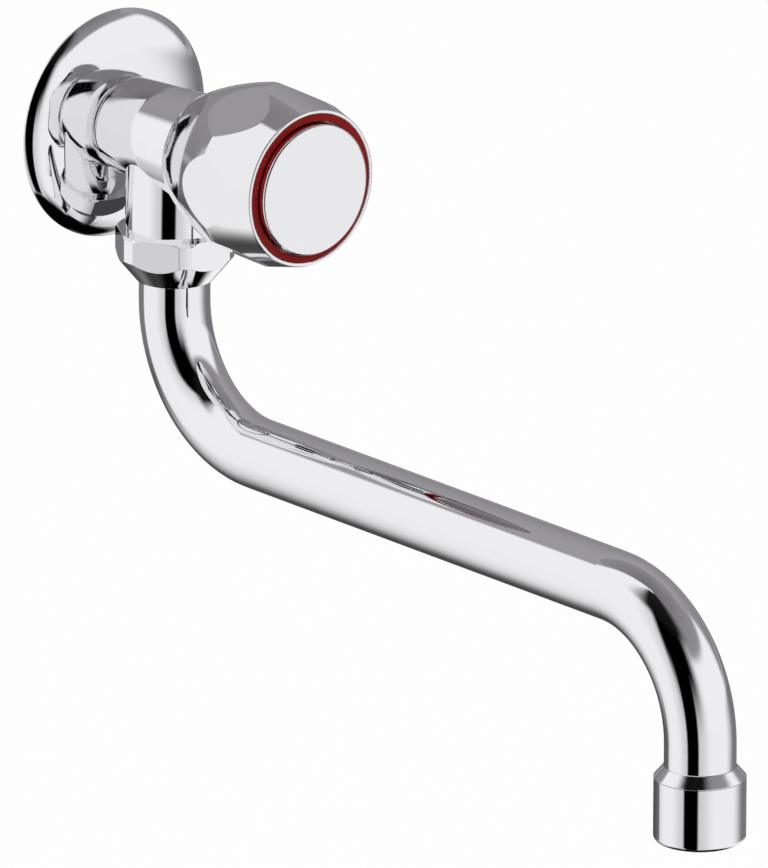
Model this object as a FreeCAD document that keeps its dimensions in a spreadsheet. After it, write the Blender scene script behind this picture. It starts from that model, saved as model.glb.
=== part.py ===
import FreeCAD, Part
import math
import os
import Sketcher

# A single-water wall tap. The wall is the plane y = 0, the tap stands out along -Y, and +Z is up.
# The origin is where the barrel's axis meets the wall. Lengths are in millimetres.
SIZES = {
    # Axes: how far the branch stands from the wall, and how far the spout reaches and drops
    "branch_from_wall": 25.6,
    "spout_reach": 214.9,
    "run_drop": 79.4,
    "outlet_drop": 140.9,
    # Clearances: a turning or sliding fit, a screwed or brazed joint, the loose swivel, and parts kept apart
    "running_gap": 0.05,
    "joint_gap": 0.05,
    "swivel_gap": 0.15,
    "clear_gap": 0.3,
    "overrun": 2.0,
    # Inlet tail with its pipe thread
    "inlet_reach": 14.7,
    "inlet_thread": 20.955,
    "inlet_pitch": 1.814,
    "inlet_thread_depth": 1.16,
    "inlet_turns": 9,
    "inlet_bore": 12.0,
    "thread_land_share": 0.35,
    # Wall flange, pressed from sheet
    "flange_diameter": 62.8,
    "flange_edge": 0.4,
    "flange_band_width": 3.2,
    "flange_band_rise": 2.7,
    "flange_band_radius": 6.7,
    "flange_dome_radius": 35.2,
    "flange_depth": 5.6,
    "flange_sheet": 1.0,
    "flange_hub": 27.6,
    "flange_hole_gap": 0.15,
    # Barrel of the body
    "barrel_rear": 26.4,
    "barrel_front": 29.8,
    "barrel_rear_round": 3.0,
    "barrel_lip": 0.3,
    # Valve chamber and seat
    "seat_from_wall": 17.6,
    "seat_lip": 14.4,
    "seat_lip_height": 1.5,
    "chamber": 19.0,
    "chamber_end": 28.6,
    # Branch with the spout's socket
    "branch": 26.6,
    "branch_drop": 29.4,
    "branch_port": 14.0,
    "branch_pitch": 1.814,
    "branch_thread_depth": 1.0,
    "branch_turns": 2,
    "socket": 20.0,
    "socket_top": 16.0,
    # Headwork bonnet
    "bonnet_thread": 20.0,
    "bonnet_pitch": 1.814,
    "bonnet_turns": 5,
    "bonnet_hex": 22.0,
    "bonnet_hex_height": 5.0,
    "bonnet_neck": 16.0,
    "bonnet_skirt": 10.6,
    "bonnet_top_wall": 2.4,
    "guide_hex": 13.2,
    "gasket_thickness": 0.8,
    "gasket_width": 1.9,
    # Spindle
    "spindle_journal": 9.9,
    "spindle_screw": 9.0,
    "spindle_screw_length": 9.7,
    "spindle_collar": 12.0,
    "spindle_collar_height": 1.5,
    "thrust_thickness": 0.75,
    "spindle_ring_cord": 1.6,
    "spindle_clip_thickness": 0.9,
    "spindle_clip_outer": 14.0,
    "spindle_clip_groove": 8.0,
    "spindle_clip_mouth": 6.0,
    "spindle_land": 0.8,
    "spline": 8.0,
    "spline_depth": 0.45,
    "spline_teeth": 20,
    # Valve plunger and its washer
    "plunger_hex": 13.0,
    "plunger_length": 15.4,
    "plunger_foot": 15.2,
    "plunger_foot_height": 2.4,
    "plunger_web": 3.6,
    "washer_thickness": 2.5,
    "washer": 14.8,
    "small_screw": 4.0,
    "washer_screw_head": 6.8,
    "washer_screw_head_height": 1.8,
    "washer_screw_length": 7.4,
    "screw_slot": 0.9,
    # Handle knob
    "handle_gap": 0.4,
    "handle_length": 42.0,
    "handle_rear": 32.4,
    "handle_throat": 26.6,
    "handle_throat_depth": 5.0,
    "handle_heel": 33.8,
    "handle_heel_from_rear": 0.7,
    "handle_heel_round": 1.2,
    "handle_flank_crown": 90.0,
    "handle_shoulder": 50.4,
    "handle_shoulder_from_rear": 26.0,
    "handle_shoulder_round": 3.0,
    "handle_rim": 43.0,
    "handle_rim_round": 0.4,
    "handle_flats": 45.9,
    "handle_cavity": 40.0,
    "handle_cavity_from_rear": 21.0,
    "handle_web": 3.0,
    "handle_web_from_front": 7.8,
    "handle_hub": 19.0,
    "handle_hub_clear": 0.8,
    "insert_outer": 13.0,
    "insert_length": 12.2,
    "handle_screw_head": 7.6,
    "handle_screw_head_height": 3.0,
    "handle_screw_length": 12.0,
    # Index ring and cap in the knob's front
    "index_ring": 40.8,
    "index_ring_inner": 36.8,
    "index_ring_height": 2.3,
    "rim_proud": 0.3,
    "cap": 36.0,
    "cap_proud": 2.4,
    "cap_round": 0.8,
    "cap_wall": 1.5,
    # Union nut
    "nut_flats": 30.0,
    "nut_corners": 32.8,
    "nut_top_drop": 24.6,
    "nut_top_chamfer": 0.8,
    "nut_cone_drop": 31.4,
    "nut_end_drop": 38.6,
    "nut_end": 20.9,
    "nut_recess": 24.4,
    "nut_floor_drop": 32.6,
    # Spout tube and the ferrule brazed in its upper end
    "tube": 19.2,
    "tube_wall": 1.2,
    "bend_radius": 35.0,
    "ferrule_bore": 13.0,
    "ferrule_shoulder": 23.8,
    "ferrule_shoulder_height": 1.8,
    "ferrule_spigot": 5.6,
    "spout_ring_cord": 1.8,
    "spout_ring_spacing": 5.0,
    "slip_ring_thickness": 1.1,
    # Outlet collar, and the aerator's shell that screws on it
    "outlet": 24.6,
    "outlet_height": 20.6,
    "outlet_bevel": 3.0,
    "outlet_lip": 0.1,
    "outlet_socket": 8.0,
    "outlet_ledge": 1.2,
    "outlet_thread": 21.8,
    "outlet_pitch": 1.0,
    "outlet_thread_depth": 0.6,
    "outlet_turns": 4,
    "shell_seam": 0.15,
    "shell_round": 1.5,
    "shell_mouth": 18.6,
    "shell_lip_height": 1.4,
    "aerator_gasket_thickness": 1.5,
    "aerator_gasket_width": 3.4,
    "aerator_holes": 12,
    "aerator_hole": 2.2,
    "screen_thickness": 0.3,
    "screen_hole": 0.9,
    "screen_rows": 4,
}

doc = FreeCAD.newDocument("wall_tap")
sheet = doc.addObject("Spreadsheet::Sheet", "Sizes")
for row, (alias, number) in enumerate(SIZES.items(), start=1):
    sheet.set(f"A{row}", alias)
    sheet.set(f"B{row}", str(number))
    sheet.setAlias(f"B{row}", alias)
doc.recompute()


class Size:
    """A length that carries its formula over the sheet's cells along with its value."""

    def __init__(self, formula, value):
        self.formula = formula
        self.value = value

    def join(self, sign, other, value):
        text = other.formula if isinstance(other, Size) else str(other)
        return Size(f"({self.formula} {sign} {text})", value)

    def __add__(self, other):
        return self.join("+", other, self.value + plain(other))

    def __sub__(self, other):
        return self.join("-", other, self.value - plain(other))

    def __mul__(self, other):
        return self.join("*", other, self.value * plain(other))

    def __truediv__(self, other):
        return self.join("/", other, self.value / plain(other))

    def __neg__(self):
        return Size(f"(-{self.formula})", -self.value)


def plain(size):
    """The value of a size, or a bare count or share as it is."""
    return size.value if isinstance(size, Size) else size


def of(alias):
    return Size(f"Sizes.{alias}", float(sheet.get(alias)))


def count(alias):
    return int(sheet.get(alias))


def bind(thing, **formulas):
    """Set each property from a size, and keep it bound to the sheet."""
    for name, size in formulas.items():
        thing.setExpression(name.replace("__", "."), size.formula)
    return thing


def plane(body, role):
    return next(item for item in body.Origin.OriginFeatures if item.Role == role)


def sketch_on(body, name, role):
    sketch = body.newObject("Sketcher::SketchObject", name)
    sketch.AttachmentSupport = (plane(body, role), [""])
    sketch.MapMode = "FlatFace"
    return sketch


def arc_between(start, end, radius):
    """An arc from start to end, turning left for a positive radius and right for a negative one."""
    chord = end - start
    left = FreeCAD.Vector(-chord.y, chord.x, 0).normalize()
    rise = math.sqrt(radius ** 2 - (chord.Length / 2) ** 2)
    centre = (start + end) / 2 + left * math.copysign(rise, radius)
    first, last = (start, end) if radius > 0 else (end, start)
    angles = [math.atan2(p.y - centre.y, p.x - centre.x) for p in (first, last)]
    circle = Part.Circle(centre, FreeCAD.Vector(0, 0, 1), abs(radius))
    return Part.ArcOfCircle(circle, angles[0], angles[1])


def draw(sketch, points, closed=True):
    """Draw an outline: each point is (x, y), or (x, y, radius) where an arc leads to the next one."""
    places = [FreeCAD.Vector(plain(p[0]), plain(p[1]), 0) for p in points]
    last = len(points) if closed else len(points) - 1
    starts, ends, rules, formulas = [], [], [], []
    for i in range(last):
        here, there = places[i], places[(i + 1) % len(points)]
        bend = points[i][2] if len(points[i]) > 2 else None
        edge = arc_between(here, there, plain(bend)) if bend else Part.LineSegment(here, there)
        index = sketch.addGeometry(edge)
        backwards = bool(bend) and plain(bend) < 0
        starts.append((index, 2 if backwards else 1))
        ends.append((index, 1 if backwards else 2))
        if bend:
            size = -bend if backwards else bend
            formulas.append((len(rules), size))
            rules.append(Sketcher.Constraint("Radius", index, plain(size)))
    for i in range(last if closed else last - 1):
        rules.append(Sketcher.Constraint("Coincident", *ends[i], *starts[(i + 1) % last]))
    corners = starts if closed else starts + [ends[-1]]
    for corner, point in zip(corners, points):
        for kind, axis, size in (("DistanceX", -2, point[0]), ("DistanceY", -1, point[1])):
            if isinstance(size, Size):
                formulas.append((len(rules), size))
                rules.append(Sketcher.Constraint(kind, -1, 1, *corner, size.value))
            else:
                rules.append(Sketcher.Constraint("PointOnObject", *corner, axis))
    sketch.addConstraint(rules)
    for index, size in formulas:
        sketch.setExpression(f"Constraints[{index}]", size.formula)


def turned(name, points):
    """A lathe-turned solid: points are (radius, distance along the axis)."""
    body = doc.addObject("PartDesign::Body", name)
    sketch = sketch_on(body, f"{name}_outline", "XZ_Plane")
    draw(sketch, points)
    revolution = body.newObject("PartDesign::Revolution", f"{name}_turning")
    revolution.Profile = sketch
    revolution.ReferenceAxis = (sketch, ["V_Axis"])
    revolution.Angle = 360
    doc.recompute()
    return body


def rounded(body, radius, spots):
    """Round the circular edges of a turned body that pass through the given (radius, height) spots."""
    base = body.Tip
    names = []
    for number, edge in enumerate(base.Shape.Edges, start=1):
        if not isinstance(edge.Curve, Part.Circle):
            continue
        for spot_radius, spot_height in spots:
            off_radius = abs(edge.Curve.Radius - plain(spot_radius))
            off_height = abs(edge.Curve.Center.z - plain(spot_height))
            if off_radius + off_height < Part.Precision.confusion():
                names.append(f"Edge{number}")
    fillet = body.newObject("PartDesign::Fillet", f"{body.Name}_rounding")
    fillet.Base = (base, names)
    bind(fillet, Radius=radius)
    doc.recompute()
    return body


def hexagon(name, across_flats, start, height):
    """A hexagonal prism about the local Z axis, with two corners on the X axis."""
    prism = doc.addObject("Part::Prism", name)
    prism.Polygon = 6
    bind(prism, Circumradius=across_flats / math.sqrt(3), Height=height, Placement__Base__z=start)
    return prism


def cylinder(name, diameter, start, height):
    solid = doc.addObject("Part::Cylinder", name)
    return bind(solid, Radius=diameter / 2, Height=height, Placement__Base__z=start)


def torus(name, cord, inner_diameter, height):
    ring = doc.addObject("Part::Torus", name)
    return bind(ring, Radius1=(inner_diameter + cord) / 2, Radius2=cord / 2, Placement__Base__z=height)


def slot_box(name, length, width, start, height, one_sided=False):
    """A box for cutting slots: centred on the local Z axis, or standing on one side of it along Y."""
    box = doc.addObject("Part::Box", name)
    bind(box, Length=length, Width=width, Height=height)
    if not one_sided:
        bind(box, Placement__Base__y=-width / 2)
    return bind(box, Placement__Base__x=-length / 2, Placement__Base__z=start)


def joined(name, *pieces):
    fuse = doc.addObject("Part::MultiFuse", name)
    fuse.Shapes = list(pieces)
    return fuse


def common(name, first, second):
    shared = doc.addObject("Part::Common", name)
    shared.Base = first
    shared.Tool = second
    return shared


def cut(name, base, *tools):
    difference = doc.addObject("Part::Cut", name)
    difference.Base = base
    difference.Tool = tools[0] if len(tools) == 1 else joined(f"{name}_tools", *tools)
    return difference


def together(name, *pieces):
    """Like pieces that share one node, each still a solid of its own."""
    group = doc.addObject("Part::Compound", name)
    group.Links = list(pieces)
    return group


def ringed(radius, start, pitch, depth, turns):
    """The outline of a thread drawn as rings, from start along the axis."""
    land = pitch * of("thread_land_share")
    points = []
    for turn in range(turns):
        foot = start + pitch * turn
        points += [(radius, foot), (radius, foot + land), (radius - depth, foot + (land + pitch) / 2)]
    return points


X_AXIS = FreeCAD.Vector(1, 0, 0)
OUT_FROM_WALL = FreeCAD.Rotation(X_AXIS, 90)
HANGING = FreeCAD.Rotation(X_AXIS, 180)
subparts = []


def keep(label, thing, rotation, **base):
    """Name a finished sub-part and set it in the tap's frame."""
    thing.Label = label
    thing.Placement = FreeCAD.Placement(FreeCAD.Vector(), rotation)
    bind(thing, **{f"Placement__Base__{axis}": size for axis, size in base.items()})
    subparts.append(thing)
    return thing


def on_barrel(label, thing):
    """Local Z is the distance from the wall."""
    return keep(label, thing, OUT_FROM_WALL)


def on_branch(label, thing):
    """Local Z is the drop below the barrel's axis, and local Y points away from the wall."""
    return keep(label, thing, HANGING, y=-of("branch_from_wall"))


def on_outlet(label, thing):
    """Local Z is the drop below the barrel's axis, at the spout's far end."""
    return keep(label, thing, HANGING, y=-(of("branch_from_wall") + of("spout_reach")))


# Wall flange: a shallow dome pressed from sheet, with a rounded rim. Its hole clears the inlet thread,
# so it hangs loose on the narrower neck behind the barrel.
neck_radius = of("inlet_thread") / 2 - of("inlet_thread_depth")
flange_radius = of("flange_diameter") / 2
flange_hole = of("inlet_thread") / 2 + of("flange_hole_gap")
band_radius = flange_radius - of("flange_band_width")
band_top = of("flange_edge") + of("flange_band_rise")
sheet_gauge = of("flange_sheet")
flange = turned("flange", [
    (flange_radius - sheet_gauge, 0),
    (flange_radius, 0),
    (flange_radius, of("flange_edge"), of("flange_band_radius")),
    (band_radius, band_top, of("flange_dome_radius")),
    (of("flange_hub") / 2, of("flange_depth")),
    (flange_hole, of("flange_depth")),
    (flange_hole, of("flange_depth") - sheet_gauge),
    (of("flange_hub") / 2, of("flange_depth") - sheet_gauge, -of("flange_dome_radius")),
    (band_radius, band_top - sheet_gauge, -(of("flange_band_radius") - sheet_gauge)),
])
keep("wall_flange", flange, OUT_FROM_WALL, z=neck_radius + of("joint_gap") - flange_hole)

# Tap body: one casting, with the inlet tail, the barrel, the valve seat and the branch.
barrel_start = of("flange_depth") + of("clear_gap")
barrel_end = of("branch_from_wall") + of("branch") / 2 + of("barrel_lip")
rear_radius = of("barrel_rear") / 2
barrel = turned("barrel", [
    (0, -of("inlet_reach")),
    *ringed(of("inlet_thread") / 2, -of("inlet_reach"), of("inlet_pitch"), of("inlet_thread_depth"),
            count("inlet_turns")),
    (neck_radius, barrel_start),
    (rear_radius - of("barrel_rear_round"), barrel_start, of("barrel_rear_round")),
    (rear_radius, barrel_start + of("barrel_rear_round")),
    (of("barrel_front") / 2, barrel_end),
    (0, barrel_end),
])
bonnet_hole = of("bonnet_thread") / 2 + of("joint_gap")
seat_floor = of("seat_from_wall") - of("seat_lip_height")
waterway = turned("waterway", [
    (0, -of("inlet_reach") - of("overrun")),
    (of("inlet_bore") / 2, -of("inlet_reach") - of("overrun")),
    (of("inlet_bore") / 2, of("seat_from_wall")),
    (of("seat_lip") / 2, of("seat_from_wall")),
    (of("seat_lip") / 2, seat_floor),
    (of("chamber") / 2, seat_floor),
    (of("chamber") / 2, of("chamber_end")),
    (bonnet_hole, of("chamber_end")),
    (bonnet_hole, barrel_end + of("overrun")),
    (0, barrel_end + of("overrun")),
])
thread_start = of("branch_drop") - of("branch_pitch") * of("branch_turns")
branch_radius = of("branch") / 2
branch = turned("branch", [
    (0, 0),
    (branch_radius, 0),
    *ringed(branch_radius, thread_start, of("branch_pitch"), of("branch_thread_depth"),
            count("branch_turns")),
    (branch_radius, of("branch_drop")),
    (0, of("branch_drop")),
])
branch_way = turned("branch_way", [
    (0, 0),
    (of("branch_port") / 2, 0),
    (of("branch_port") / 2, of("socket_top")),
    (of("socket") / 2, of("socket_top")),
    (of("socket") / 2, of("branch_drop") + of("overrun")),
    (0, of("branch_drop") + of("overrun")),
])
for piece in (branch, branch_way):
    piece.Placement = FreeCAD.Placement(FreeCAD.Vector(), FreeCAD.Rotation(X_AXIS, 90))
    bind(piece, Placement__Base__z=of("branch_from_wall"))
on_barrel("tap_body", cut("body_casting", joined("body_outside", barrel, branch), waterway, branch_way))

# Headwork: the bonnet screws into the barrel over a flat gasket.
bonnet_seat = barrel_end + of("gasket_thickness")
on_barrel("bonnet_gasket", turned("gasket", [
    (bonnet_hole, barrel_end),
    (bonnet_hole + of("gasket_width"), barrel_end),
    (bonnet_hole + of("gasket_width"), bonnet_seat),
    (bonnet_hole, bonnet_seat),
]))

# The knob's hub sets how far the neck and the spindle reach.
handle_rear = barrel_end + of("handle_gap")
handle_front = handle_rear + of("handle_length")
web_front = handle_front - of("handle_web_from_front")
web_rear = web_front - of("handle_web")
hub_rear = web_rear - of("insert_length")
spindle_end = web_rear - of("handle_hub_clear")
spline_start = hub_rear - of("handle_hub_clear")
clip_groove_top = spline_start - of("spindle_land")
clip_top = clip_groove_top - of("joint_gap")
clip_rear = clip_top - of("spindle_clip_thickness")
neck_top = clip_rear - of("joint_gap")

hex_top = bonnet_seat + of("bonnet_hex_height")
skirt_end = bonnet_seat - of("bonnet_skirt")
thrust_seat = hex_top - of("bonnet_top_wall")
collar_rear = thrust_seat - of("thrust_thickness") - of("running_gap") - of("spindle_collar_height")
neck_bore = of("spindle_journal") / 2 + of("running_gap")
collar_bore = of("spindle_collar") / 2 + of("clear_gap")
bonnet_radius = of("bonnet_thread") / 2
bonnet_outside = turned("bonnet_outside", [
    (0, skirt_end),
    *ringed(bonnet_radius, skirt_end, of("bonnet_pitch"), of("inlet_thread_depth"), count("bonnet_turns")),
    (bonnet_radius, skirt_end + of("bonnet_pitch") * of("bonnet_turns")),
    (bonnet_radius, hex_top),
    (of("bonnet_neck") / 2, hex_top),
    (of("bonnet_neck") / 2, neck_top),
    (0, neck_top),
])
bonnet_bore = turned("bonnet_bore", [
    (0, skirt_end - of("overrun")),
    (collar_bore, skirt_end - of("overrun")),
    (collar_bore, thrust_seat),
    (neck_bore, thrust_seat),
    (neck_bore, neck_top + of("overrun")),
    (0, neck_top + of("overrun")),
])
guide_start = skirt_end - of("overrun")
guide = hexagon("bonnet_guide", of("guide_hex"), guide_start, collar_rear - guide_start)
bonnet_hex = hexagon("bonnet_hex", of("bonnet_hex"), bonnet_seat, of("bonnet_hex_height"))
bonnet_blank = joined("bonnet_blank", bonnet_outside, bonnet_hex)
on_barrel("bonnet", cut("bonnet_turning", bonnet_blank, bonnet_bore, guide))

# Spindle: turns in the bonnet's neck without rising, held by its collar and a clip.
journal = of("spindle_journal") / 2
collar_top = collar_rear + of("spindle_collar_height")
screw_rear = collar_rear - of("spindle_screw_length")
ring_floor = journal - of("spindle_ring_cord")
ring_half = of("spindle_ring_cord") / 2 + of("joint_gap")
ring_step = (neck_top - thrust_seat) / 3
ring_heights = [thrust_seat + ring_step, neck_top - ring_step]
spindle_outline = [
    (0, screw_rear),
    (of("spindle_screw") / 2, screw_rear),
    (of("spindle_screw") / 2, collar_rear),
    (of("spindle_collar") / 2, collar_rear),
    (of("spindle_collar") / 2, collar_top),
    (journal, collar_top),
]
for height in ring_heights:
    spindle_outline += [
        (journal, height - ring_half),
        (ring_floor, height - ring_half),
        (ring_floor, height + ring_half),
        (journal, height + ring_half),
    ]
spindle_outline += [
    (journal, neck_top),
    (of("spindle_clip_groove") / 2, neck_top),
    (of("spindle_clip_groove") / 2, clip_groove_top),
    (journal, clip_groove_top),
    (journal, spline_start),
    (of("spline") / 2, spline_start),
    (of("spline") / 2, spindle_end),
    (of("small_screw") / 2 + of("joint_gap"), spindle_end),
    (of("small_screw") / 2 + of("joint_gap"), spline_start),
    (0, spline_start),
]
spindle = turned("spindle_turning", spindle_outline)
tooth = sketch_on(spindle, "spline_groove", "XY_Plane")
tooth.setExpression("AttachmentOffset.Base.z", spline_start.formula)
groove_half = of("spline") * math.pi / of("spline_teeth") / 2
draw(tooth, [
    (of("spline") / 2 - of("spline_depth"), 0),
    (of("spline") / 2 + of("spline_depth"), -groove_half),
    (of("spline") / 2 + of("spline_depth"), groove_half),
])
groove = spindle.newObject("PartDesign::Pocket", "spline_cut")
groove.Profile = tooth
groove.Reversed = True
bind(groove, Length=spindle_end - spline_start + of("overrun"))
pattern = spindle.newObject("PartDesign::PolarPattern", "spline_teeth")
pattern.Originals = [groove]
pattern.Axis = (plane(spindle, "Z_Axis"), [""])
pattern.Angle = 360
bind(pattern, Occurrences=of("spline_teeth"))
spindle.Tip = pattern
on_barrel("spindle", spindle)

on_barrel("spindle_o_rings", together("spindle_seals", *[
    torus(f"spindle_ring_{number}", of("spindle_ring_cord"), ring_floor * 2, height)
    for number, height in enumerate(ring_heights)
]))
on_barrel("thrust_washer", turned("thrust", [
    (neck_bore, collar_top),
    (of("spindle_collar") / 2, collar_top),
    (of("spindle_collar") / 2, collar_top + of("thrust_thickness")),
    (neck_bore, collar_top + of("thrust_thickness")),
]))
clip_hole = of("spindle_clip_groove") / 2 + of("joint_gap")
clip_ring = turned("clip_ring", [
    (clip_hole, clip_rear),
    (of("spindle_clip_outer") / 2, clip_rear),
    (of("spindle_clip_outer") / 2, clip_top),
    (clip_hole, clip_top),
])
clip_mouth = slot_box("clip_mouth", of("spindle_clip_mouth"), of("spindle_clip_outer"), clip_rear,
                      of("spindle_clip_thickness"), one_sided=True)
on_barrel("spindle_clip", cut("clip", clip_ring, clip_mouth))

# Valve plunger: a hexagon that slides in the bonnet as the spindle's screw turns in it.
washer_face = of("seat_from_wall") + of("running_gap")
foot_rear = washer_face + of("washer_thickness")
foot_top = foot_rear + of("plunger_foot_height")
plunger_top = foot_rear + of("plunger_length")
screw_floor = foot_top + of("plunger_web")
screw_hole = of("small_screw") / 2 + of("joint_gap")
nut_hole = of("spindle_screw") / 2 + of("running_gap")
foot = cylinder("plunger_foot", of("plunger_foot"), foot_rear, of("plunger_foot_height"))
stem = hexagon("plunger_stem", of("plunger_hex"), foot_rear, of("plunger_length"))
plunger_bore = turned("plunger_bore", [
    (0, foot_rear - of("overrun")),
    (screw_hole, foot_rear - of("overrun")),
    (screw_hole, screw_floor),
    (nut_hole, screw_floor),
    (nut_hole, plunger_top + of("overrun")),
    (0, plunger_top + of("overrun")),
])
on_barrel("valve_plunger", cut("plunger", joined("plunger_blank", foot, stem), plunger_bore))
on_barrel("seat_washer", turned("jumper_washer", [
    (screw_hole, washer_face),
    (of("washer") / 2, washer_face),
    (of("washer") / 2, foot_rear),
    (screw_hole, foot_rear),
]))


def slotted_screw(name, head, head_height, length, seat, towards):
    """A round-headed screw whose shank runs from its seat, along +Z or -Z, with a slot in its head."""
    head_end = seat - head_height * towards
    solid = turned(name, [
        (0, seat + length * towards),
        (of("small_screw") / 2, seat + length * towards),
        (of("small_screw") / 2, seat),
        (head / 2, seat),
        (head / 2, head_end),
        (0, head_end),
    ])
    slot_start = head_end if towards > 0 else head_end - head_height / 2
    slot = slot_box(f"{name}_slot", head, of("screw_slot"), slot_start, head_height / 2)
    return cut(f"{name}_slotted", solid, slot)


on_barrel("washer_screw", slotted_screw(
    "jumper_screw", of("washer_screw_head"), of("washer_screw_head_height"), of("washer_screw_length"),
    washer_face, 1))

# Handle knob: a hollow shell with six flats, a hub on the spindle and a recessed front.
shoulder = handle_rear + of("handle_shoulder_from_rear")
ring_face = handle_front - of("rim_proud")
ring_ledge = ring_face - of("index_ring_height")
ring_seat = of("index_ring") / 2 + of("joint_gap")
cap_recess = of("cap") / 2 + of("clear_gap")
hub_bore = of("insert_outer") / 2 + of("joint_gap")
knob_shell = turned("knob_shell", [
    (of("handle_throat") / 2, handle_rear),
    (of("handle_rear") / 2, handle_rear, of("handle_heel_round")),
    (of("handle_heel") / 2, handle_rear + of("handle_heel_from_rear"), of("handle_flank_crown")),
    (of("handle_shoulder") / 2, shoulder),
    (of("handle_rim") / 2, handle_front),
    (ring_seat, handle_front),
    (ring_seat, ring_ledge),
    (cap_recess, ring_ledge),
    (cap_recess, web_front),
    (screw_hole, web_front),
    (screw_hole, web_rear),
    (hub_bore, web_rear),
    (hub_bore, hub_rear),
    (of("handle_hub") / 2, hub_rear),
    (of("handle_hub") / 2, web_rear),
    (of("handle_cavity") / 2, web_rear),
    (of("handle_cavity") / 2, handle_rear + of("handle_cavity_from_rear")),
    (of("handle_throat") / 2, handle_rear + of("handle_throat_depth")),
])
rounded(knob_shell, of("handle_shoulder_round"), [(of("handle_shoulder") / 2, shoulder)])
rim_edges = [(of("handle_rim") / 2, handle_front), (ring_seat, handle_front)]
rounded(knob_shell, of("handle_rim_round"), rim_edges)
knob_flats = hexagon("knob_flats", of("handle_flats"), handle_rear, of("handle_length"))
knob_flats.Placement.Rotation = FreeCAD.Rotation(FreeCAD.Vector(0, 0, 1), 90)
on_barrel("handle_knob", common("knob", knob_shell, knob_flats))

insert_bore = of("spline") / 2 + of("joint_gap")
on_barrel("handle_insert", turned("insert", [
    (insert_bore, hub_rear),
    (of("insert_outer") / 2, hub_rear),
    (of("insert_outer") / 2, web_rear),
    (insert_bore, web_rear),
]))
on_barrel("handle_screw", slotted_screw(
    "knob_screw", of("handle_screw_head"), of("handle_screw_head_height"), of("handle_screw_length"),
    web_front, -1))
on_barrel("index_ring", turned("red_ring", [
    (of("index_ring_inner") / 2, ring_ledge),
    (of("index_ring") / 2, ring_ledge),
    (of("index_ring") / 2, ring_face),
    (of("index_ring_inner") / 2, ring_face),
]))
cap_top = ring_face + of("cap_proud")
cap_radius = of("cap") / 2
on_barrel("handle_cap", turned("knob_cap", [
    (0, cap_top - of("cap_wall")),
    (cap_radius - of("cap_wall"), cap_top - of("cap_wall")),
    (cap_radius - of("cap_wall"), web_front),
    (cap_radius, web_front),
    (cap_radius, cap_top - of("cap_round"), of("cap_round")),
    (cap_radius - of("cap_round"), cap_top),
    (0, cap_top),
]))

# Spout ferrule: a turned plug that swivels in the branch's socket, brazed in the tube's upper end.
shoulder_top = of("branch_drop") + of("swivel_gap")
tube_top = shoulder_top + of("ferrule_shoulder_height")
plug = of("socket") / 2 - of("running_gap")
plug_top = of("socket_top") + of("clear_gap")
groove_floor = plug - of("spout_ring_cord")
groove_side = of("spout_ring_cord") / 2 + of("joint_gap")
tube_bore = of("tube") / 2 - of("tube_wall")
first_seal = plug_top + of("spout_ring_spacing") / 2 + groove_side
seal_heights = [first_seal, first_seal + of("spout_ring_spacing")]
ferrule_outline = [(of("ferrule_bore") / 2, plug_top), (plug, plug_top)]
for height in seal_heights:
    ferrule_outline += [
        (plug, height - groove_side),
        (groove_floor, height - groove_side),
        (groove_floor, height + groove_side),
        (plug, height + groove_side),
    ]
ferrule_outline += [
    (plug, shoulder_top),
    (of("ferrule_shoulder") / 2, shoulder_top),
    (of("ferrule_shoulder") / 2, tube_top),
    (tube_bore - of("joint_gap"), tube_top),
    (tube_bore - of("joint_gap"), tube_top + of("ferrule_spigot")),
    (of("ferrule_bore") / 2, tube_top + of("ferrule_spigot")),
]
on_branch("spout_ferrule", turned("ferrule", ferrule_outline))
on_branch("spout_o_rings", together("spout_seals", *[
    torus(f"spout_ring_{number}", of("spout_ring_cord"), groove_floor * 2, height)
    for number, height in enumerate(seal_heights)
]))
slip_hole = of("tube") / 2 + of("swivel_gap")
on_branch("slip_ring", turned("slip", [
    (slip_hole, tube_top),
    (of("ferrule_shoulder") / 2, tube_top),
    (of("ferrule_shoulder") / 2, tube_top + of("slip_ring_thickness")),
    (slip_hole, tube_top + of("slip_ring_thickness")),
]))

# Union nut: hexagon bar with its corners turned off and a conical lower end round the tube.
nut_outside = turned("nut_outside", [
    (0, of("nut_top_drop")),
    (of("nut_corners") / 2 - of("nut_top_chamfer"), of("nut_top_drop")),
    (of("nut_corners") / 2, of("nut_top_drop") + of("nut_top_chamfer")),
    (of("nut_corners") / 2, of("nut_cone_drop")),
    (of("nut_end") / 2, of("nut_end_drop")),
    (0, of("nut_end_drop")),
])
nut_height = of("nut_end_drop") - of("nut_top_drop")
nut_hexagon = hexagon("nut_hexagon", of("nut_flats"), of("nut_top_drop"), nut_height)
nut_thread = of("branch") / 2 + of("joint_gap")
nut_lip = of("tube") / 2 + of("clear_gap")
nut_bore = turned("nut_bore", [
    (0, of("nut_top_drop") - of("overrun")),
    (nut_thread, of("nut_top_drop") - of("overrun")),
    (nut_thread, of("branch_drop")),
    (of("nut_recess") / 2, of("branch_drop")),
    (of("nut_recess") / 2, of("nut_floor_drop")),
    (nut_lip, of("nut_floor_drop")),
    (nut_lip, of("nut_end_drop") + of("overrun")),
    (0, of("nut_end_drop") + of("overrun")),
])
on_branch("union_nut", cut("nut", common("nut_blank", nut_outside, nut_hexagon), nut_bore))

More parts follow.
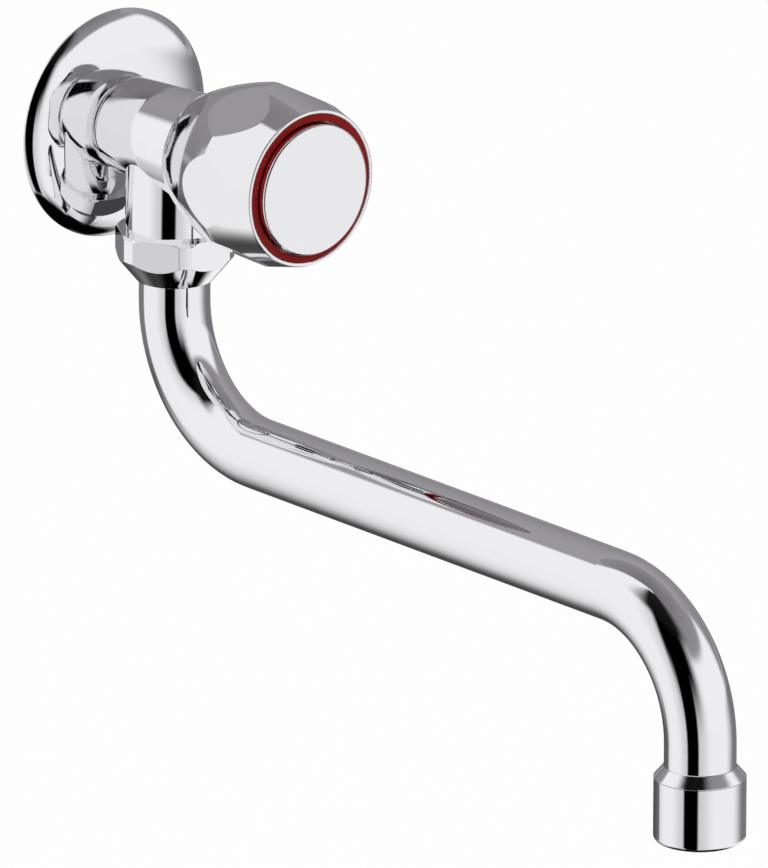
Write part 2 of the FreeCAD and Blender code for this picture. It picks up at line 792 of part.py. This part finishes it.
# Spout tube: drawn tube, bent twice into a flat Z.
outlet_top = of("outlet_drop") - of("outlet_height")
tube_end = outlet_top + of("outlet_socket")
spout = doc.addObject("PartDesign::Body", "spout")
route = sketch_on(spout, "spout_route", "YZ_Plane")
draw(route, [
    (0, tube_top),
    (0, of("run_drop") - of("bend_radius"), -of("bend_radius")),
    (of("bend_radius"), of("run_drop")),
    (of("spout_reach") - of("bend_radius"), of("run_drop"), of("bend_radius")),
    (of("spout_reach"), of("run_drop") + of("bend_radius")),
    (of("spout_reach"), tube_end),
], closed=False)
section = sketch_on(spout, "spout_section", "XY_Plane")
section.setExpression("AttachmentOffset.Base.z", tube_top.formula)
for size in (of("tube") / 2, tube_bore):
    ring = section.addGeometry(Part.Circle(FreeCAD.Vector(), FreeCAD.Vector(0, 0, 1), size.value))
    section.addConstraint(Sketcher.Constraint("Coincident", ring, 3, -1, 1))
    rule = section.addConstraint(Sketcher.Constraint("Radius", ring, size.value))
    section.setExpression(f"Constraints[{rule}]", size.formula)
pipe = spout.newObject("PartDesign::AdditivePipe", "spout_bending")
pipe.Profile = section
pipe.Spine = route
on_branch("spout_tube", spout)

# Outlet: a bevelled collar brazed on the tube's end, with a thread that carries the aerator's shell.
outlet_radius = of("outlet") / 2
collar_hole = of("tube") / 2 + of("joint_gap")
seam = outlet_top + of("outlet_bevel")
outlet_thread = of("outlet_thread") / 2
ledge_end = tube_end + of("outlet_ledge")
on_outlet("outlet_collar", turned("collar", [
    (collar_hole, outlet_top),
    (collar_hole + of("outlet_lip"), outlet_top),
    (outlet_radius, seam),
    (outlet_thread, seam),
    *ringed(outlet_thread, seam + of("outlet_pitch"), of("outlet_pitch"), of("outlet_thread_depth"),
            count("outlet_turns")),
    (outlet_thread, ledge_end),
    (tube_bore, ledge_end),
    (tube_bore, tube_end),
    (collar_hole, tube_end),
]))
gasket_end = ledge_end + of("aerator_gasket_thickness")
screen_end = gasket_end + of("screen_thickness")
lip_top = of("outlet_drop") - of("shell_lip_height")
shell_bore = outlet_thread + of("joint_gap")
disc_radius = shell_bore - of("joint_gap")
on_outlet("aerator_shell", turned("shell", [
    (shell_bore, seam + of("shell_seam")),
    (outlet_radius, seam + of("shell_seam")),
    (outlet_radius, of("outlet_drop") - of("shell_round"), of("shell_round")),
    (outlet_radius - of("shell_round"), of("outlet_drop")),
    (of("shell_mouth") / 2, of("outlet_drop")),
    (of("shell_mouth") / 2, lip_top),
    (shell_bore, lip_top),
]))
on_outlet("aerator_gasket", turned("outlet_gasket", [
    (disc_radius - of("aerator_gasket_width"), ledge_end),
    (disc_radius, ledge_end),
    (disc_radius, gasket_end),
    (disc_radius - of("aerator_gasket_width"), gasket_end),
]))


def holed_disc(name, radius, start, height, hole, rows):
    """A disc drilled with rings of holes; rows gives each ring's radius and how many holes it has."""
    disc = cylinder(f"{name}_disc", radius * 2, start, height)
    drills = []
    for row_number, (row_radius, holes) in enumerate(rows):
        for number in range(holes):
            turn = 2 * math.pi * number / holes
            drill = cylinder(f"{name}_{row_number}_{number}", hole, start - of("overrun"),
                             height + of("overrun") * 2)
            across = row_radius * math.cos(turn)
            along = row_radius * math.sin(turn)
            drills.append(bind(drill, Placement__Base__x=across, Placement__Base__y=along))
    return cut(f"{name}_drilled", disc, *drills)


open_radius = disc_radius - of("aerator_gasket_width")
screen_step = open_radius / of("screen_rows")
screen_rows = [(screen_step * row_number, 6 * row_number) for row_number in range(1, count("screen_rows"))]
on_outlet("aerator_screen", holed_disc(
    "screen", disc_radius, gasket_end, of("screen_thickness"), of("screen_hole"), screen_rows))
insert_rows = [(open_radius - of("aerator_hole") / 2, count("aerator_holes")),
               ((open_radius - of("aerator_hole") / 2) / 2, count("aerator_holes") // 2)]
on_outlet("aerator_insert", holed_disc(
    "straightener", disc_radius, screen_end, lip_top - screen_end, of("aerator_hole"), insert_rows))

# Every object has to have been made, and every sub-part has to be a sound solid, before files are written.
doc.recompute()
for item in doc.Objects:
    if {"Invalid", "Error"} & set(item.State):
        raise RuntimeError(f"{item.Name} failed: {item.State}")
os.makedirs("parts", exist_ok=True)
for item in subparts:
    if item.Shape.isNull() or not item.Shape.isValid() or not item.Shape.Solids:
        raise RuntimeError(f"{item.Label} is not a sound solid")
    item.Shape.exportStep(os.path.join("parts", f"{item.Label}.step"))
    print(f"{item.Label}: {len(item.Shape.Solids)} solid(s), {item.Shape.Volume:.1f} mm3")
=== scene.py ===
import math

import bpy
from mathutils import Matrix, Vector

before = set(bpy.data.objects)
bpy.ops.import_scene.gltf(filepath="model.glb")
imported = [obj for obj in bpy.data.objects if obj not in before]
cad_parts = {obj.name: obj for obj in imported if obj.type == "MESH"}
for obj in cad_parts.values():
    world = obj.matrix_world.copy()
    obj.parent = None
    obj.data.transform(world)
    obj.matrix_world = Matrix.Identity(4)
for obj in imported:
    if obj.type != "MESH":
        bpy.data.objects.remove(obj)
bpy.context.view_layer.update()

# Wall flange: a shallow dome pressed from brass sheet, buffed and chromium plated.
# It slips over the inlet thread and hides the hole in the wall.


def linear(written):
    """A hex colour as it is seen on screen, turned to the linear values that shaders take."""
    parts = [int(written[i:i + 2], 16) / 255 for i in (1, 3, 5)]
    return (*[p / 12.92 if p <= 0.04045 else ((p + 0.055) / 1.055) ** 2.4 for p in parts], 1.0)


def add_node(tree, kind, inputs=(), **settings):
    """Add one node, with its settings, and with values or links on its sockets."""
    made = tree.nodes.new(kind)
    for name, value in settings.items():
        setattr(made, name, value)
    for socket, value in dict(inputs).items():
        if isinstance(value, bpy.types.NodeSocket):
            tree.links.new(value, made.inputs[socket])
        else:
            made.inputs[socket].default_value = value
    return made


def empty_material(name):
    """A material with nothing in it yet but its output."""
    made = bpy.data.materials.new(name)
    made.use_nodes = True
    made.node_tree.nodes.clear()
    return made, made.node_tree, made.node_tree.nodes.new("ShaderNodeOutputMaterial")


def object_place(tree):
    """Where a point lies on its piece, so that a pattern moves with the piece."""
    return add_node(tree, "ShaderNodeTexCoord").outputs["Object"]


def cloud(tree, place, across_mm, **more):
    """Noise in patches of about this many millimetres, from 0 to 1."""
    return add_node(tree, "ShaderNodeTexNoise", {
        "Vector": place, "Scale": 1000 / across_mm, **more}).outputs["Fac"]


def spread(tree, value, low, high, **more):
    """A value from 0 to 1, spread from low to high."""
    return add_node(tree, "ShaderNodeMapRange", {
        "Value": value, "To Min": low, "To Max": high, **more}).outputs["Result"]


def relief(tree, height, strength, height_mm, **more):
    """The normal of a surface that rises by this much where the pattern is 1."""
    return add_node(tree, "ShaderNodeBump", {
        "Strength": strength, "Distance": height_mm / 1000, "Height": height,
        **more}).outputs["Normal"]


def surface(tree, output, inputs):
    """Give a material one principled surface."""
    shader = add_node(tree, "ShaderNodeBsdfPrincipled", inputs)
    tree.links.new(shader.outputs["BSDF"], output.inputs["Surface"])


def dress(material, *pieces):
    """Give these pieces one material."""
    for piece in pieces:
        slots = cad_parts[piece].data.materials
        slots.clear()
        slots.append(material)


def chromium_plate(name, colour, mirror, haze, haze_mm, ripple_mm, ripple_height_mm, edge_mm):
    """Bright chromium over nickel: a mirror, a little duller where the buff left a haze.

    The metal under it isn't dead flat, so reflections waver slightly.
    Its edges were softened by buffing."""
    material, tree, output = empty_material(name)
    place = object_place(tree)
    buff = cloud(tree, place, haze_mm, Detail=3.0, Roughness=0.6)
    ripple = cloud(tree, place, ripple_mm, Detail=1.0)
    edges = add_node(tree, "ShaderNodeBevel", {"Radius": edge_mm / 1000}, samples=6)
    waver = relief(tree, ripple, strength=1.0, height_mm=ripple_height_mm,
                   Normal=edges.outputs["Normal"])
    surface(tree, output, {
        "Base Color": linear(colour), "Metallic": 1.0,
        "Roughness": spread(tree, buff, mirror, haze, **{"From Min": 0.35, "From Max": 0.75}),
        "Normal": waver})
    return material


# Pressed sheet takes a bright buff, with the faint waviness that the press leaves.
pressed_chrome = chromium_plate(
    "chromium_plated_pressed_brass", "#EDEDEF", mirror=0.03, haze=0.06, haze_mm=14.0,
    ripple_mm=9.0, ripple_height_mm=0.004, edge_mm=0.15)
dress(pressed_chrome, "wall_flange")

# Tap body: a hot-pressed brass casting with the inlet tail, the barrel and the branch in one piece.
# It is machined, buffed by hand and chromium plated.

# Hand buffing leaves a casting bright, with soft edges and reflections that waver a little.
cast_chrome = chromium_plate(
    "chromium_plated_cast_brass", "#EDEDEF", mirror=0.03, haze=0.07, haze_mm=10.0,
    ripple_mm=7.0, ripple_height_mm=0.004, edge_mm=0.25)
dress(cast_chrome, "tap_body")

# Headwork: the bonnet, spindle, plunger, washer screw and insert, turned from brass bar.
# The spout's ferrule is turned from the same bar.
# They are left bare, because the knob, the barrel and the nut hide them.


def two_tone(tree, share, first, second):
    """One colour where the share is 0, blended to another where it is 1."""
    return add_node(tree, "ShaderNodeMix", {
        "Factor": share, "A": linear(first), "B": linear(second)},
        data_type="RGBA").outputs["Result"]


# Freshly cut brass is yellow and half bright, with rings from the tool and a faint brown tarnish.
turned_brass, tree, output = empty_material("turned_free_cutting_brass")
place = object_place(tree)
# The lathe leaves rings about 0.1 mm apart. At this scale they are about 3 mm apart, so they show.
ring_scale = 100.0
tool_marks = add_node(tree, "ShaderNodeTexWave", {
    "Vector": place, "Scale": ring_scale, "Distortion": 0.4, "Detail": 2.0},
    wave_type="BANDS", bands_direction="Y").outputs["Fac"]
tarnish = cloud(tree, place, across_mm=4.0, Detail=4.0)
surface(tree, output, {
    "Base Color": two_tone(tree, tarnish, "#D9BC7E", "#B8924F"), "Metallic": 1.0,
    "Roughness": spread(tree, tool_marks, low=0.22, high=0.34),
    "Normal": relief(tree, tool_marks, strength=0.3, height_mm=0.02)})
dress(turned_brass,
      "bonnet", "spindle", "valve_plunger", "washer_screw", "handle_insert", "spout_ferrule")

# Seals: the bonnet gasket, the seat washer, the O-rings and the aerator's gasket.
# They are moulded nitrile rubber, pressed into their grooves and seats.

# Moulded nitrile looks dull and nearly black, with a greyish bloom in patches.
nitrile, tree, output = empty_material("moulded_black_nitrile")
bloom = cloud(tree, object_place(tree), across_mm=1.2, Detail=5.0)
surface(tree, output, {
    "Base Color": two_tone(tree, bloom, "#17171A", "#2B2B2D"), "Roughness": 0.62, "IOR": 1.52,
    "Normal": relief(tree, bloom, strength=0.3, height_mm=0.03)})
dress(nitrile,
      "bonnet_gasket", "spindle_o_rings", "seat_washer", "spout_o_rings", "aerator_gasket")

# Slip pieces: the thrust washer, the spout's slip ring and the aerator's insert, in white acetal.
# They let the metal turn without galling, and part the water into straight streams.

# Acetal looks milky white with a waxy shine, uneven where the melt flowed.
acetal, tree, output = empty_material("moulded_white_acetal")
flow = cloud(tree, object_place(tree), across_mm=2.5, Detail=3.0)
surface(tree, output, {
    "Base Color": two_tone(tree, flow, "#EDECE6", "#DDDCD4"),
    "Roughness": spread(tree, flow, low=0.32, high=0.5), "IOR": 1.48})
dress(acetal, "thrust_washer", "slip_ring", "aerator_insert")

# Small steel: the spindle clip, the knob's screw and the aerator's screen, in stainless steel.
# The clip snaps in its groove, and the screw holds the knob on the spindle.

# Rolled stainless steel is a soft grey mirror, streaked along the way it was rolled.
stainless, tree, output = empty_material("rolled_stainless_steel")
drawn_out = add_node(tree, "ShaderNodeMapping", {
    "Vector": object_place(tree), "Scale": (1.0, 1.0, 12.0)})
rolling = cloud(tree, drawn_out.outputs["Vector"], across_mm=3.0, Detail=4.0)
surface(tree, output, {
    "Base Color": linear("#C3C3C2"), "Metallic": 1.0,
    "Roughness": spread(tree, rolling, low=0.22, high=0.4)})
dress(stainless, "spindle_clip", "handle_screw", "aerator_screen")

# Handle knob: a hollow six-sided ABS moulding, plated with copper, nickel and chromium.
# It pushes on the splined spindle and is held by a screw under the cap.

# Plated plastic is as bright as plated brass, with fuller, softer edges under its thick copper.
knob_chrome = chromium_plate(
    "chromium_plated_abs", "#EAEAEC", mirror=0.05, haze=0.09, haze_mm=8.0,
    ripple_mm=6.0, ripple_height_mm=0.003, edge_mm=0.5)
dress(knob_chrome, "handle_knob")

# Index ring: a narrow ring that marks the hot tap, moulded from red ABS.
# It snaps in a groove in the knob's front, round the cap.

# Dyed ABS shows one deep red, hardly mottled, from a smooth mould.
red_abs, tree, output = empty_material("moulded_red_abs")
mottle = cloud(tree, object_place(tree), across_mm=2.0, Detail=3.0)
# The ring lies low between two bright edges; its shine is cut down here as painted shade for that
# recess, so it shows its colour with hardly any shine.
surface(tree, output, {
    "Base Color": two_tone(tree, mottle, "#9A1010", "#7E0C0C"),
    "Roughness": spread(tree, mottle, low=0.2, high=0.32), "IOR": 1.53, "Specular IOR Level": 0.1})
dress(red_abs, "index_ring")

# Handle cap: a plain disc with a rounded edge, moulded from ABS and chromium plated.
# It is pressed in the knob's front, over the screw.

# Its flat face comes from a polished mould, so the mirror hardly wavers.
cap_chrome = chromium_plate(
    "chromium_plated_abs_cap", "#EAEAEC", mirror=0.04, haze=0.08, haze_mm=8.0,
    ripple_mm=9.0, ripple_height_mm=0.002, edge_mm=0.2)
dress(cap_chrome, "handle_cap")

# Union nut: hexagon brass bar, turned, threaded, buffed and chromium plated.
# It pulls the spout's ferrule up against the branch and lets it swivel.

# Turned and milled bar is truer than a casting, so its faces mirror flatly between soft edges.
bar_chrome = chromium_plate(
    "chromium_plated_bar_brass", "#EDEDEF", mirror=0.03, haze=0.06, haze_mm=6.0,
    ripple_mm=5.0, ripple_height_mm=0.003, edge_mm=0.25)
dress(bar_chrome, "union_nut")

# Spout tube: drawn brass tube, bent twice on a mandrel, buffed along its length and plated.
# The ferrule is brazed in its upper end and the outlet collar on its lower one.

# Drawn tube buffed along its length gives long clean stripes that bend with it.
tube_chrome = chromium_plate(
    "chromium_plated_drawn_brass", "#EDEDEF", mirror=0.025, haze=0.05, haze_mm=16.0,
    ripple_mm=14.0, ripple_height_mm=0.004, edge_mm=0.15)
dress(tube_chrome, "spout_tube")

# Outlet: a bevelled brass collar, and the aerator's shell that screws on it against a thin seam.
# Both are turned from bar and chromium plated.
dress(bar_chrome, "outlet_collar", "aerator_shell")

# Studio floor: plain and pale, well below the tap.
# It keeps the tap's shadow, and shows white to the camera and in the chrome.
floor_height, floor_half = -1.75, 20.0
floor_mesh = bpy.data.meshes.new("floor")
floor_mesh.from_pydata(
    [(x * floor_half, y * floor_half, floor_height)
     for x, y in ((-1, -1), (1, -1), (1, 1), (-1, 1))], [], [(0, 1, 2, 3)])
floor = bpy.data.objects.new("floor", floor_mesh)
bpy.context.scene.collection.objects.link(floor)


def seen_directly(tree):
    """1 for a ray from the camera, from a mirror or through glass, and 0 for soft light."""
    path = add_node(tree, "ShaderNodeLightPath").outputs
    first = add_node(tree, "ShaderNodeMath", {
        0: path["Is Camera Ray"], 1: path["Is Glossy Ray"]}, operation="ADD")
    return add_node(tree, "ShaderNodeMath", {
        0: first.outputs[0], 1: path["Is Transmission Ray"]},
        operation="ADD", use_clamp=True).outputs[0]


def layer(tree, cover, under, over):
    """One shader where the cover is 0, and another over it where the cover is 1."""
    return add_node(tree, "ShaderNodeMixShader", {
        0: cover, 1: under.outputs[0], 2: over.outputs[0]})


# White paint that glows to the camera and in mirrors, all but a small share that takes the shadow.
pale_floor, tree, output = empty_material("pale_studio_floor")
glow_share = 0.97
paint = add_node(tree, "ShaderNodeBsdfDiffuse", {"Color": linear("#FCFCFA")})
glow = add_node(tree, "ShaderNodeEmission", {"Color": linear("#FFFFFF")})
glowing = add_node(tree, "ShaderNodeMath", {
    0: seen_directly(tree), 1: glow_share}, operation="MULTIPLY").outputs[0]
# From below the floor is clear, so a view from there still shows the tap.
from_below = add_node(tree, "ShaderNodeNewGeometry").outputs["Backfacing"]
clear = add_node(tree, "ShaderNodeBsdfTransparent")
one_sided = layer(tree, from_below, layer(tree, glowing, paint, glow), clear)
tree.links.new(one_sided.outputs["Shader"], output.inputs["Surface"])
floor_mesh.materials.append(pale_floor)

# Surround: a white studio, as bright in the chrome as it is to the camera.
# It lights the plastic from all round at half that level.
world = bpy.data.worlds.new("white_surround")
bpy.context.scene.world = world
world.use_nodes = True
world.node_tree.nodes.clear()
tree = world.node_tree
soft_level, seen_level = 0.5, 1.0
surround = add_node(tree, "ShaderNodeBackground", {
    "Color": linear("#FFFFFF"),
    "Strength": spread(tree, seen_directly(tree), soft_level, seen_level)})
world_output = add_node(tree, "ShaderNodeOutputWorld")
tree.links.new(surround.outputs["Background"], world_output.inputs["Surface"])

# Studio cards: grey, white and black flags hung round the tap, glowing sheets that paint the
# chrome's bands.
# Only mirrored rays see them, so they cast no shade and stay out of the picture: the bands are
# painted reflections.
# Some show in the first mirror alone, and some only where one piece mirrors another.
tap_centre = Vector((0.0, -0.12, -0.07))
every_mirror, first_mirror, later_mirrors = (1, 4), (1, 1), (2, 4)
black = "#020202"
# A card's edge that doesn't fade, in degrees.
hard = 0.001


def direction(azimuth, elevation):
    """The way from the tap: azimuth 0 is straight out from the wall, and 90 is to its right."""
    turn, lift = math.radians(azimuth), math.radians(elevation)
    return Vector((
        math.sin(turn) * math.cos(lift), -math.cos(turn) * math.cos(lift), math.sin(lift)))


def curved_sheet(name, distance, across, up):
    """A smooth part of a sphere round the tap, over these azimuths and elevations, in degrees."""
    columns, rows = 48, 32
    places = [(column / columns, row / rows)
              for row in range(rows + 1) for column in range(columns + 1)]
    points = [tap_centre + distance * direction(
        across[0] + u * (across[1] - across[0]), up[0] + v * (up[1] - up[0])) for u, v in places]
    firsts = [row * (columns + 1) + column for row in range(rows) for column in range(columns)]
    mesh = bpy.data.meshes.new(name)
    mesh.from_pydata(points, [], [
        (first, first + 1, first + columns + 2, first + columns + 1) for first in firsts])
    mesh.polygons.foreach_set("use_smooth", [True] * len(mesh.polygons))
    spots = mesh.uv_layers.new(name="card")
    for loop in mesh.loops:
        spots.data[loop.index].uv = places[loop.vertex_index]
    return mesh


def studio_card(name, distance, across, up, low_shade, high_shade, soft_sides, soft_ends,
                mirrors=every_mirror):
    """A curved card that fades out over its soft edges, which are in degrees too.

    It shows after the fewest to the most mirrors in a row, and is clear otherwise."""
    mesh = curved_sheet(name, distance, across, up)
    card = bpy.data.objects.new(name, mesh)
    bpy.context.scene.collection.objects.link(card)
    card.visible_camera = card.visible_diffuse = False
    card.visible_shadow = card.visible_transmission = False
    material, tree, output = empty_material(name)
    spot = add_node(tree, "ShaderNodeSeparateXYZ", {
        0: add_node(tree, "ShaderNodeUVMap", uv_map="card").outputs[0]}).outputs
    fewest, most = mirrors
    cover = add_node(tree, "ShaderNodeMath", {
        0: add_node(tree, "ShaderNodeLightPath").outputs["Glossy Depth"],
        1: (fewest + most) / 2, 2: (most - fewest + 1) / 2}, operation="COMPARE").outputs[0]
    for axis, (start, end), softness in (("X", across, soft_sides), ("Y", up, soft_ends)):
        for edge, width in ((0.0, softness[0]), (1.0, -softness[1])):
            fade = add_node(tree, "ShaderNodeMapRange", {
                "Value": spot[axis], "From Min": edge, "From Max": edge + width / (end - start)},
                interpolation_type="SMOOTHSTEP").outputs[0]
            cover = add_node(tree, "ShaderNodeMath", {
                0: cover, 1: fade}, operation="MULTIPLY").outputs[0]
    sheet = add_node(tree, "ShaderNodeEmission", {
        "Color": two_tone(tree, spot["Y"], low_shade, high_shade)})
    gap = add_node(tree, "ShaderNodeBsdfTransparent")
    whole = layer(tree, cover, gap, sheet)
    tree.links.new(whole.outputs["Shader"], output.inputs["Surface"])
    mesh.materials.append(material)


# Painted reflections: each card glows in its shades for the chrome alone, and the black ones paint
# its dark bands.
studio_card("ceiling_card", distance=1.5, across=(-40, 206), up=(32, 90),
            low_shade="#A09EA1", high_shade="#747275", soft_sides=(20, 8), soft_ends=(10, hard))
studio_card("low_right_card", distance=1.45, across=(42, 205), up=(-30, 4),
            low_shade="#7E7C7F", high_shade="#7E7C7F", soft_sides=(43, 8), soft_ends=(8, 8))
studio_card("high_right_card", distance=1.42, across=(68, 205), up=(-4, 50),
            low_shade="#858386", high_shade="#A8A6A9", soft_sides=(18, 8), soft_ends=(8, hard))
studio_card("under_card", distance=1.5, across=(-180, 180), up=(-90, -42),
            low_shade=black, high_shade=black, soft_sides=(hard, hard), soft_ends=(hard, 16))
studio_card("low_rear_card", distance=1.35, across=(128, 228), up=(-75, -18),
            low_shade="#4A4A4B", high_shade="#4A4A4B", soft_sides=(8, 70), soft_ends=(10, 6))
studio_card("left_scrim", distance=1.33, across=(-112, 0), up=(-60, 60), mirrors=first_mirror,
            low_shade="#DADADB", high_shade="#DADADB", soft_sides=(35, 38), soft_ends=(4, 20))
studio_card("left_flag", distance=1.3, across=(-79, -38), up=(-60, 70), mirrors=first_mirror,
            low_shade=black, high_shade=black, soft_sides=(6, 6), soft_ends=(4, 20))
studio_card("middle_flag", distance=1.28, across=(-88, -12), up=(-14, 64), mirrors=first_mirror,
            low_shade=black, high_shade=black, soft_sides=(10, 24), soft_ends=(40, 12))
studio_card("high_flag", distance=1.25, across=(-125, 10), up=(40, 88), mirrors=first_mirror,
            low_shade="#0C0C0C", high_shade="#1E1E1E", soft_sides=(40, 40), soft_ends=(16, 3))
studio_card("second_flag", distance=1.2, across=(-24, 10), up=(-50, 50), mirrors=later_mirrors,
            low_shade="#050505", high_shade="#050505", soft_sides=(5, 5), soft_ends=(6, 6))
studio_card("second_grey", distance=1.19, across=(8, 85), up=(4, 70), mirrors=later_mirrors,
            low_shade="#8A888B", high_shade="#8A888B", soft_sides=(8, 8), soft_ends=(10, 6))

# Studio lamps: a large soft box above on the left and a weaker one on the right.
# They light the plastic and the floor at a plain level.
# The chrome sees the cards and the surround instead.


def soft_box(name, azimuth, elevation, distance, width, watts):
    """A round lamp that faces the tap from this direction, and that no mirror shows."""
    lamp = bpy.data.lights.new(name, "AREA")
    lamp.shape = "DISK"
    lamp.size = width
    lamp.energy = watts
    box = bpy.data.objects.new(name, lamp)
    away = direction(azimuth, elevation)
    box.location = tap_centre + away * distance
    box.rotation_mode = "QUATERNION"
    box.rotation_quaternion = away.to_track_quat("Z", "Y")
    box.visible_glossy = box.visible_camera = False
    bpy.context.scene.collection.objects.link(box)


soft_box("key_soft_box", azimuth=-70, elevation=50, distance=2.0, width=1.2, watts=22)
soft_box("fill_soft_box", azimuth=40, elevation=35, distance=2.0, width=1.2, watts=10)

# Camera: a long lens from far off, as the photograph's edges hardly draw together with depth.
# It stands on the tap's left and a little above it.
aim = Vector((0.02704, -0.08039, -0.07459))
right = Vector((0.75994, -0.64998, 0.00489))
upward = Vector((0.19895, 0.23976, 0.95023))
towards = right.cross(upward).normalized()
lens, sensor, picture_height = 1400.0, 36.0, 0.23177
lens_data = bpy.data.cameras.new("camera")
lens_data.sensor_fit = "VERTICAL"
lens_data.sensor_height = lens_data.sensor_width = sensor
lens_data.lens = lens
lens_data.clip_start, lens_data.clip_end = 0.1, 200.0
camera = bpy.data.objects.new("camera", lens_data)
facing = Matrix((right, upward, towards)).transposed().to_4x4()
away_from_aim = towards * picture_height * lens / sensor
camera.matrix_world = Matrix.Translation(aim + away_from_aim) @ facing
bpy.context.scene.collection.objects.link(camera)
bpy.context.scene.camera = camera
bpy.context.scene.view_settings.view_transform = "Standard"
